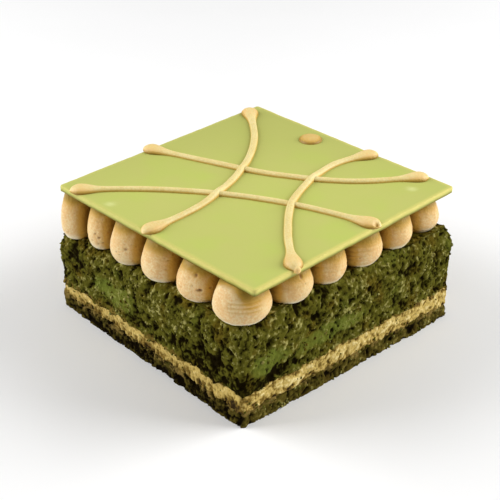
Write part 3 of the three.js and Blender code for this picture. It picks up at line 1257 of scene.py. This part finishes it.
@dataclass
class PipedDot:
    """One dot of the ring, shaped as its solid is, with faint rings, dents and burst bubbles."""

    number: int
    plaque: Plaque
    pits: Sequence[Pit] = ()
    ring_share: float = 0.45
    ring_patches: Sequence[RingPatch] = ()
    seed: int = 100
    columns: int = 120
    rows: int = 56
    smoothness: int = 5
    level_digits: int = 2
    level_reach: float = 0.02
    axis_reach: float = 0.5  # corners of the solid nearer to its axis aren't on a ring
    ring_gap: float = 1.15
    ring_depth: float = 0.09
    # the rings' grooves also get painted shade
    ring_shade: float = 0.12
    ring_bend: float = 1.5
    ring_bend_size: float = 6
    ring_sharpness: float = 3
    ring_patch_size: float = 5
    ring_patch_stretch: float = 2
    ring_patch_range: Range = (-0.4, 0.5)
    dent_size: float = 4
    dent_depth: float = 0.14
    grain_size: float = 0.9
    grain_depth: float = 0.05
    grain_layers: int = 2
    bubbles: int = 14
    bubble_seed: int = 500
    bubble_width: Range = (0.25, 0.6)
    bubble_rise: Range = (0.15, 0.85)
    bubble_depth: Range = (0.06, 0.16)
    # how deep a bubble must be for its painted shade to be full
    dark_depth: float = 0.4
    # a painted highlight, paler towards each dot's foot
    foot_highlight_range: Range = (0.18, 0.02)
    foot_highlight_wave: float = 0.08
    foot_highlight_wave_size: float = 3
    foot_highlight_tone: float = 0.85
    # how near to a neighbour and how far under the plaque the painted shade reaches
    crevice_range: Range = (4.9, -0.3)
    overhang: float = 2.6
    shade_range: Range = (2.8, 0.8)
    shade_edge: float = 2.2

    @staticmethod
    def node(number: int) -> str:
        """Gives the name of a dot's solid, counting on round the ring."""
        return f"cream_dot_{(number - 1) % DOT_COUNT + 1:02}"

    @property
    def grain(self) -> Grain:
        """Gives the dot's own unevenness."""
        return Grain(self.seed + self.number)

    def profile(self) -> tuple[Points, Numbers, Numbers]:
        """Reads the solid's rings.

        Returns:
            The rings' middles, their radii, and the shares of the dot's height that they are at.
        """
        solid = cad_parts[self.node(self.number)].data
        spots = np.array([corner.co for corner in solid.vertices]) / MM - CENTRE
        foot = SPONGE_TOP.at(spots)
        lift = (spots[:, 2] - foot).min()
        rise = (spots[:, 2] - foot - lift) / (spots[:, 2].max() - foot - lift)
        levels = np.unique(np.round(rise, self.level_digits))
        middles, radii = [], []
        for level in levels:
            ring = spots[np.abs(rise - level) < self.level_reach, :2]
            reach = np.linalg.norm(ring - ring.mean(axis=0), axis=1)
            on_ring = reach > self.axis_reach
            middles.append(ring[on_ring].mean(axis=0))
            radii.append(reach[on_ring].mean())
        return np.array(middles), np.array(radii), levels

    def crevice(self, points: Points, below: Numbers, roofed: Numbers) -> Numbers:
        """Finds where the dot lies close to its neighbours or to the plaque over it, where its colour gets
        painted shade.

        Args:
            points: Places on the dot.
            below: How far under the plaque they are.
            roofed: How much of the plaque is over them, from 0 to 1.

        Returns:
            How close they are, from 0 to 1, which sets how deep the painted shade is.
        """
        close = roofed * (1 - below / np.hypot(below, self.overhang))
        for number in (self.number - 1, self.number + 1):
            low, high = box_mm(self.node(number))
            radius = (high - low)[:2].mean() / 2
            gap = np.linalg.norm(points[:, :2] - ((low + high) / 2)[:2], axis=1) - radius
            close = np.maximum(close, ease(gap, *self.crevice_range))
        return close

    def bubble_pits(self) -> list[Pit]:
        """Draws the tiny bubbles that every dot has.

        Returns:
            The bubbles.
        """
        draw = np.random.default_rng(self.bubble_seed + self.number)
        pits = []
        for _ in range(self.bubbles):
            width = draw.uniform(*self.bubble_width)
            azimuth, rise = draw.uniform(0, 360), draw.uniform(*self.bubble_rise)
            pits.append(Pit(azimuth, rise, width, width, draw.uniform(*self.bubble_depth)))
        return pits

    def wave(self, points: Points, gap: float, bend: float) -> Numbers:
        """Gives even rings, from 0 between them to 1 in them, bent up and down a little."""
        bent = bend * self.grain.swell(points, self.ring_bend_size)
        return 0.5 + 0.5 * np.cos(2 * math.pi * points[:, 2] / gap + bent)

    def rings(self, points: Points, angle: Numbers, rise: Numbers) -> Numbers:
        """Works out where the nozzle left rings.

        Args:
            points: Places on the dot, ring by ring.
            angle: The angles of the dot's columns.
            rise: The shares of the dot's height that its rings of points are at.

        Returns:
            How plain the rings are there, from 0.
        """
        stretched = points * (1, 1, self.ring_patch_stretch)
        some = ease(self.grain.swell(stretched, self.ring_patch_size), *self.ring_patch_range)
        wave = self.wave(points, self.ring_gap, self.ring_bend)
        rings = self.ring_share * wave**self.ring_sharpness * some
        for patch in self.ring_patches:
            plain = patch.share * patch.cover(angle, rise) * self.wave(points, patch.gap, patch.bend)
            rings = np.maximum(rings, plain)
        return rings

    def build(self, material: bpy.types.Material) -> bpy.types.Object:
        """Builds the dot where its solid stands and gives it its finish.

        Args:
            material: The cream's finish.

        Returns:
            The new piece.
        """
        middles, radii, levels = self.profile()
        node = self.node(self.number)
        head = box_mm(node)[1][2]
        angle = around(self.columns)
        rise = np.linspace(0, 1, self.rows + 1)
        reach = np.polynomial.Polynomial.fit(levels, radii, self.smoothness)(rise)
        lean = np.stack([np.interp(rise, levels, middles[:, axis]) for axis in (0, 1)], -1)
        across = np.stack([np.cos(angle), np.sin(angle)], -1)
        plan = lean[:, None] + reach[:, None, None] * across
        foot = SPONGE_TOP.at(plan)
        height = foot + (head - foot) * rise[:, None]
        points = np.concatenate([plan, height[..., None]], -1).reshape(-1, 3)
        rings = self.rings(points, angle, rise)
        out = self.dent_depth * self.grain.swell(points, self.dent_size)
        out += self.grain_depth * self.grain.rough(points, self.grain_size, self.grain_layers)
        out -= self.ring_depth * rings
        # painted shade inside burst bubbles
        inside = np.zeros(len(points))
        for pit in [*self.pits, *self.bubble_pits()]:
            cover = pit.cover(angle, rise, reach.max(), head - foot.mean())
            out -= pit.depth * cover
            inside = np.maximum(inside, cover * min(1.0, pit.depth / self.dark_depth))
        ways = np.tile(np.concatenate([across, np.zeros((self.columns, 1))], -1), (len(rise), 1))
        skin = Skin.drum((points + ways * out[:, None]).reshape(len(rise), self.columns, 3))
        skin.mark(Mark.PIT, inside)
        # a painted highlight towards the foot
        waves = self.foot_highlight_wave * self.grain.swell(points, self.foot_highlight_wave_size)
        foot_highlight = ease(np.repeat(rise, self.columns) + waves, *self.foot_highlight_range)
        skin.mark(Mark.FOOT, self.foot_highlight_tone * foot_highlight)
        # painted shade where the dot lies close to its neighbours, under the plaque and in its rings' grooves
        below = head - points[:, 2]
        roofed = ease(self.plaque.inside(points), -self.shade_edge, 0)
        close = self.crevice(points, below, roofed) + self.ring_shade * rings
        skin.mark(Mark.CREVICE, np.minimum(close, 1))
        skin.mark(Mark.SHADED, roofed * ease(below, *self.shade_range))
        return skin.piece(f"piped_dot_{self.number:02}", material, Slot.CREAM, [node])


@dataclass
class Piping:
    """The four lines and the lone dot piped on the plaque, in the plaque's own axes."""

    plaque: Plaque
    under_lines: tuple[tuple[Spot, ...], ...] = (
        ((-30.3, -34.6), (-16.6, -20.2), (-1, -8.4), (15.7, 0.1), (35.2, 6.2)),
        ((-35.8, -6.2), (-16.7, 0.8), (-0.4, 7.5), (15.6, 18.5), (27.1, 34)),
    )
    over_lines: tuple[tuple[Spot, ...], ...] = (
        ((-1.4, -35.6), (-1.9, -16.6), (-8.3, 2.6), (-19.1, 18.1), (-34.2, 30.8)),
        ((34.8, -22.4), (22.1, -11.5), (11.3, 2.1), (5.9, 20.8), (9.4, 35)),
    )
    under_seed: int = 61
    over_seed: int = 71
    lone_dot: Spot = (-8.7, 28.8)
    lone_radius: float = 3.1
    lone_height: float = 1.1
    lone_shade: float = 0.28
    nub: Spot = (34.9, -21.7)
    nub_radius: float = 0.85
    dimple: Spot = (34.5, 5.3)
    dimple_range: Range = (0.8, 0.2)
    dimple_depth: float = 0.7
    dimple_over: float = 0.3  # the lower part of the blob keeps its shape
    width: float = 2.0
    height: float = 0.95
    sink: float = 0.15
    wobble: float = 0.08
    wobble_size: float = 5
    blob_width: float = 4.7
    blob_height: float = 1.5
    blob_middle: float = 2.8
    blob_spread: float = 3.4
    blob_round: float = 2.2
    blob_tip: float = 0.12
    drape: float = 2.6
    drape_climb: float = 0.6
    # painted shade round the feet of the lines and dabs, deeper under the blobs and over all of the lone dot
    foot_share: float = 0.8
    foot_shade: float = 0.6
    blob_foot_shade: float = 0.6
    # the blobs' crests are left paler as a painted highlight
    crest_from: float = 0.6
    crest_highlight: float = 0.6
    dab_swing: float = 0.97  # leaves a small flat at both ends of a dab
    columns: int = 28
    rows: int = 220
    finer: int = 20  # steps of the curve for each row

    def curve(self, knots: Sequence[Spot]) -> tuple[Points, Points, Numbers]:
        """Runs a smooth curve through a line's points.

        Args:
            knots: The points, from end to end.

        Returns:
            Even steps along it, the directions there, and the distances from its start.
        """
        knot = np.array([knots[0], *knots, knots[-1]], float)
        at = np.linspace(0, len(knots) - 1, self.finer * self.rows + 1)
        index = np.minimum(at.astype(int), len(knots) - 2)
        t = (at - index)[:, None]
        before, start, end, after = (knot[index + step] for step in range(4))
        leave, arrive = (end - before) / 2, (after - start) / 2
        path = (2 * start - 2 * end + leave + arrive) * t**3
        path = path + (3 * end - 3 * start - 2 * leave - arrive) * t**2 + leave * t + start
        run = np.concatenate([[0], np.cumsum(np.linalg.norm(np.diff(path, axis=0), axis=1))])
        along = np.linspace(0, run[-1], self.rows + 1)
        spots = np.stack([np.interp(along, run, path[:, axis]) for axis in (0, 1)], -1)
        ahead = np.gradient(spots, axis=0)
        return spots, ahead / np.linalg.norm(ahead, axis=1, keepdims=True), along

    def shape(self, plan: Points, height: Numbers, share: Numbers, swell: Numbers) -> Skin:
        """Closes a line or a dab, marks where it is thick with its crest paler as a painted highlight, and
        paints shade round its foot.

        Args:
            plan: Its points seen from above, by ring and by column.
            height: Their heights over the plaque.
            share: Those heights with the crest at 1.
            swell: How far it swells to a blob, from 0 to 1.

        Returns:
            Its mesh.
        """
        skin = Skin.drum(self.plaque.place(np.concatenate([plan, height[..., None]], -1)))
        skin.mark(Mark.THICK, swell * (1 - self.crest_highlight * ease(share, self.crest_from, 1)))
        skin.mark(Mark.CREVICE, ease(share, self.foot_share, 0) * (self.foot_shade + self.blob_foot_shade * swell))
        return skin

    def line(self, knots: Sequence[Spot], crossed: Points, seed: int) -> Skin:
        """Makes one line with a blob at each end.

        Args:
            knots: The points that it runs through.
            crossed: Points along the lines that it lies over.
            seed: For its unevenness.

        Returns:
            Its mesh.
        """
        spots, ahead, along = self.curve(knots)
        end = np.minimum(along, along[-1] - along)
        swell = np.exp(-(((end - self.blob_middle) / self.blob_spread) ** 2))
        close = np.maximum(self.blob_tip, np.sqrt(1 - np.clip(1 - end / self.blob_round, 0, 1) ** 2))
        flat = np.column_stack([spots, np.zeros(len(spots))])
        wobble = 1 + self.wobble * Grain(seed).swell(flat, self.wobble_size)
        beside = close * wobble * (self.width + (self.blob_width - self.width) * swell) / 2
        over = close * (self.height + (self.blob_height - self.height) * swell)
        if len(crossed):
            gap = np.linalg.norm(spots[:, None] - crossed, axis=-1).min(axis=1)
            over = over + self.drape_climb * self.height * np.exp(-((gap / self.drape) ** 2))
        angle = around(self.columns)
        up = np.sin(angle)
        height = np.where(up > 0, over[:, None] * up, self.sink * up)
        across = np.stack([-ahead[:, 1], ahead[:, 0]], -1)
        plan = spots[:, None] + across[:, None] * (beside[:, None] * np.cos(angle))[..., None]
        away = np.linalg.norm(plan - self.dimple, axis=-1)
        height = height - self.dimple_depth * ease(away, *self.dimple_range) * (height > self.dimple_over)
        return self.shape(plan, height, height / over[:, None], swell[:, None])

    def dab(self, middle: Spot, radius: float, over: float, under: float) -> Skin:
        """Makes a round dab of cream.

        Args:
            middle: Where it is.
            radius: How wide it is.
            over: How far it stands over the plaque's top.
            under: How far it reaches below that.

        Returns:
            Its mesh.
        """
        swing = np.linspace(-0.5, 0.5, self.columns)[:, None] * math.pi * self.dab_swing
        angle = around(2 * self.columns)
        reach = radius * np.cos(swing)
        plan = np.stack([reach * np.cos(angle), reach * np.sin(angle)], -1) + middle
        height = np.broadcast_to(np.where(swing > 0, over, under) * np.sin(swing), plan.shape[:2])
        return self.shape(plan, height, height / over, np.ones_like(height))

    def build(self, material: bpy.types.Material) -> list[bpy.types.Object]:
        """Builds the lines and the lone dot and gives them their finish.

        Args:
            material: The cream's finish.

        Returns:
            The new pieces.
        """
        crossed = np.concatenate([self.curve(knots)[0] for knots in self.under_lines])
        none = np.zeros((0, 2))
        runs = ((self.under_lines, none, self.under_seed), (self.over_lines, crossed, self.over_seed))
        skins = [
            self.line(knots, below, seed)
            for lines, below, first_seed in runs
            for seed, knots in enumerate(lines, first_seed)
        ]
        named = {f"piped_line_{number}": skin for number, skin in enumerate(skins, 1)}
        lone = self.dab(self.lone_dot, self.lone_radius, self.lone_height, self.sink)
        # the lone dot gets a little painted shade all over
        lone.marks[Mark.CREVICE] += self.lone_shade
        named["piped_lone_dot"] = lone
        nub = self.dab(self.nub, self.nub_radius, self.nub_radius, self.nub_radius)
        del nub.marks[Mark.CREVICE]  # it hangs from a blob, so it has no foot on the plaque and no painted shade round one
        named["piped_nub"] = nub
        return [skin.piece(name, material, Slot.CREAM) for name, skin in named.items()]


# The studio


@dataclass(frozen=True)
class SoftBox:
    """One broad, soft light: where it hangs, in degrees round from the camera and up, and its watts."""

    name: str
    azimuth: float
    elevation: float
    power: float
    side: float = 450
    distance: float = 600


@dataclass
class Studio:
    """A plain pale floor, plain soft light and a camera at the photo's angle."""

    azimuth: float = 48.34
    elevation: float = 30.45
    roll: float = -0.12
    distance: float = 318.8
    aim: tuple[float, float, float] = (-1.35, -0.15, 17.5)
    lens: float = 89.71
    sensor: float = 36
    nearest: float = 10
    floor_side: float = 6000
    sky: float = 0.22
    sky_colour: str = "ffffff"
    boxes: tuple[SoftBox, ...] = (
        SoftBox("soft_box_left", -96, 31, 3.55),
        SoftBox("soft_box_right", 94, 31, 4.0),
    )

    def way(self, azimuth: float, elevation: float) -> Vector:
        """Gives the direction from the cake towards a place round it, in degrees."""
        a, e = math.radians(azimuth), math.radians(elevation)
        return Vector((math.sin(a) * math.cos(e), -math.cos(a) * math.cos(e), math.sin(e)))

    def build(self) -> None:
        """Sets up the floor, the light and the camera."""
        self.add_floor()
        self.add_sky()
        for box in self.boxes:
            self.add_soft_box(box)
        self.add_camera()

    def add_floor(self) -> None:
        """Lays the floor under the cake."""
        half = self.floor_side / 2 * MM
        corners = [(-half, -half, 0), (half, -half, 0), (half, half, 0), (-half, half, 0)]
        mesh = bpy.data.meshes.new("floor")
        mesh.from_pydata(corners, [], [(0, 1, 2, 3)])
        mesh.materials.append(FloorFinish().make())
        floor = bpy.data.objects.new("floor", mesh)
        bpy.context.scene.collection.objects.link(floor)

    def add_sky(self) -> None:
        """Lights the whole scene evenly from all round."""
        world = bpy.data.worlds.new("studio")
        world.use_nodes = True
        sky = world.node_tree.nodes["Background"]
        sky.inputs["Color"].default_value = tint(self.sky_colour)
        sky.inputs["Strength"].default_value = self.sky
        bpy.context.scene.world = world

    def add_soft_box(self, box: SoftBox) -> None:
        """Hangs one broad light that faces the cake.

        Args:
            box: The light.
        """
        lamp = bpy.data.lights.new(box.name, "AREA")
        lamp.size = box.side * MM
        lamp.energy = box.power
        light = bpy.data.objects.new(box.name, lamp)
        way = self.way(self.azimuth + box.azimuth, box.elevation)
        light.location = way * box.distance * MM
        light.rotation_euler = way.to_track_quat("Z", "Y").to_euler()
        bpy.context.scene.collection.objects.link(light)

    def add_camera(self) -> None:
        """Stands the camera at the photo's angle and distance."""
        lens = bpy.data.cameras.new("camera")
        lens.lens = self.lens
        lens.sensor_width = self.sensor
        lens.clip_start = self.nearest * MM
        camera = bpy.data.objects.new("camera", lens)
        back = self.way(self.azimuth, self.elevation)
        turn = back.to_track_quat("Z", "Y").to_matrix().to_4x4()
        roll = Matrix.Rotation(math.radians(self.roll), 4, "Z")
        spot = Vector((CENTRE + np.array(self.aim)) * MM) + back * self.distance * MM
        camera.matrix_world = Matrix.Translation(spot) @ turn @ roll
        bpy.context.scene.collection.objects.link(camera)
        bpy.context.scene.camera = camera
        bpy.context.scene.view_settings.view_transform = "Standard"


# What differs from dot to dot and from side to side

DOT_COUNT = 20
DOT_PITS = {
    2: (
        Pit(-71, 0.41, 0.7, 0.5, 0.25),
        Pit(-57, 0.33, 0.8, 0.6, 0.3),
        Pit(-46, 0.21, 0.6, 0.5, 0.25),
        Pit(-86, 0.23, 0.7, 0.5, 0.25),
        Pit(-63, 0.17, 0.7, 0.4, 0.25),
    ),
    3: (Pit(-57, 0.45, 0.9, 0.8, 0.3), Pit(-85, 0.34, 0.6, 0.5, 0.25), Pit(-74, 0.3, 0.5, 0.4, 0.2)),
    4: (Pit(-40, 0.43, 0.5, 0.5, 0.2),),
    5: (Pit(-58, 0.77, 1.1, 0.9, 0.3), Pit(-49, 0.43, 1.5, 0.7, 0.6), Pit(-26, 0.49, 0.7, 0.5, 0.25)),
    7: (Pit(-5, 0.81, 0.7, 1.3, 0.4), Pit(2, 0.59, 0.5, 0.4, 0.15)),
    9: (Pit(-42, 0.39, 0.6, 0.4, 0.2),),
    13: (Pit(75, 0.5, 1.2, 0.7, 0.4),),
    18: (Pit(190, 0.6, 0.9, 0.8, 0.3), Pit(165, 0.3, 0.7, 0.5, 0.3)),
}
RING_SHARES = {6: 0.6, 8: 1.1, 9: 1.0}
RING_PATCHES = {6: (RingPatch(-35, 46, 0.4, 0.86),)}
FRESH_PATCHES = (
    Patch((-11, -35, 14), (11, 4, 4.5)),
    Patch((35, -27, 15), (4, 8, 3.5)),
    Patch((35, -8, 14.5), (4, 15, 3)),
    Patch((-35, 6, 14), (4, 12, 4)),
    Patch((9, 35, 15), (13, 4, 4)),
)
DARK_PATCHES = (
    Patch((25, -35, 11), (17, 5, 6)),
    Patch((35, -30, 10), (5, 11, 5)),
    Patch((-28, -35, 17), (6, 4, 4)),
    Patch((-35, -20, 10), (4, 9, 3)),
    Patch((-16, 35, 11), (10, 4, 3)),
)
BASE_DARK_PATCHES = (Patch((0, -35, 2), (44, 5, 6)), Patch((-35, 0, 2), (5, 44, 6)))
FILLING_STAINS = (Patch((35.4, -35.4, 5), (6, 6, 4)), Patch((-35.4, 35.4, 5), (6, 6, 4)))
UNDER_SEAM = Seam(Plane.over("sponge_base"), seed=11, wave_depth=0.7, ragged_depth=0.7)
OVER_SEAM = Seam(Plane.over("cream_filling"), seed=12, wave_depth=0.8, ragged_depth=0.9)
WORN_EDGE = 2.4
TOP_INSETS = (*np.arange(0.35, 7, 0.4), 9, 14)  # close together where the crumb shows round the top's edge
BASE_FINISH = SpongeFinish(
    "base_sponge",
    hole="120c02",
    crumb="53491a",
    tip="938544",
    green="4b4f1e",
    brown="4a3a14",
    smear="7e6a37",
)
LINE_FINISH = CreamFinish(
    "piped_lines",
    cream="f2df9d",
    brown="ebd48b",
    # painted shade round the lines' feet, amber and then brown
    amber_shade="d2aa50",
    crevice="a8822c",
    bloom=0,
    shine=0.5,
)


def main() -> None:
    """Builds the cake from the bottom up, reports its pieces and sets up the studio."""
    logging.basicConfig(level=logging.INFO, format="%(message)s")
    sponge, cream = SpongeFinish().make(), CreamFinish().make()
    base = Sponge(
        "base_crumb",
        "sponge_base",
        Layer(Plane(0), UNDER_SEAM, rows=15),
        smear_height=4,
        smear_reach=2.6,
        dark_patches=BASE_DARK_PATCHES,
    )
    filling = Filling("filling_band", "cream_filling", Layer(UNDER_SEAM, OVER_SEAM, rows=16), FILLING_STAINS)
    thick = Sponge(
        "thick_crumb",
        "sponge_top",
        Layer(OVER_SEAM, SPONGE_TOP, rows=58, over_insets=TOP_INSETS, edge_round=WORN_EDGE),
        smear_height=7.8,
        smear_reach=2.8,
        smear_share=0.75,
        patches=FRESH_PATCHES,
        dark_patches=DARK_PATCHES,
    )
    pieces = [base.build(BASE_FINISH.make()), filling.build(FillingFinish().make()), thick.build(sponge)]
    loose = Crumbs("loose_crumbs", count=2200, smallest=0.15, largest=0.5, seed=41, highest_tip=1.3)
    pieces.append(loose.build(np.concatenate([base.ledges(), thick.ledges()]), sponge))
    stuck = Crumbs(
        "stuck_crumbs",
        count=200,
        smallest=0.12,
        largest=0.45,
        seed=43,
        lowest_tip=0.6,
        highest_tip=1.2,
        flatness=0.4,
    )
    pieces.append(stuck.build(filling.ledges(), sponge))
    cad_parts["cream_core"].material_slots[0].material = cream
    plaque = Plaque()
    for number in range(1, DOT_COUNT + 1):
        pits, patches = DOT_PITS.get(number, ()), RING_PATCHES.get(number, ())
        share = RING_SHARES.get(number, PipedDot.ring_share)
        pieces.append(PipedDot(number, plaque, pits, share, patches).build(cream))
    pieces.append(plaque.build(ChocolateFinish().make()))
    pieces += Piping(plaque).build(LINE_FINISH.make())
    for piece in pieces:
        LOG.info("%s: %d faces", piece.name, len(piece.data.polygons))
    Studio().build()


if __name__ == "__main__":
    main()
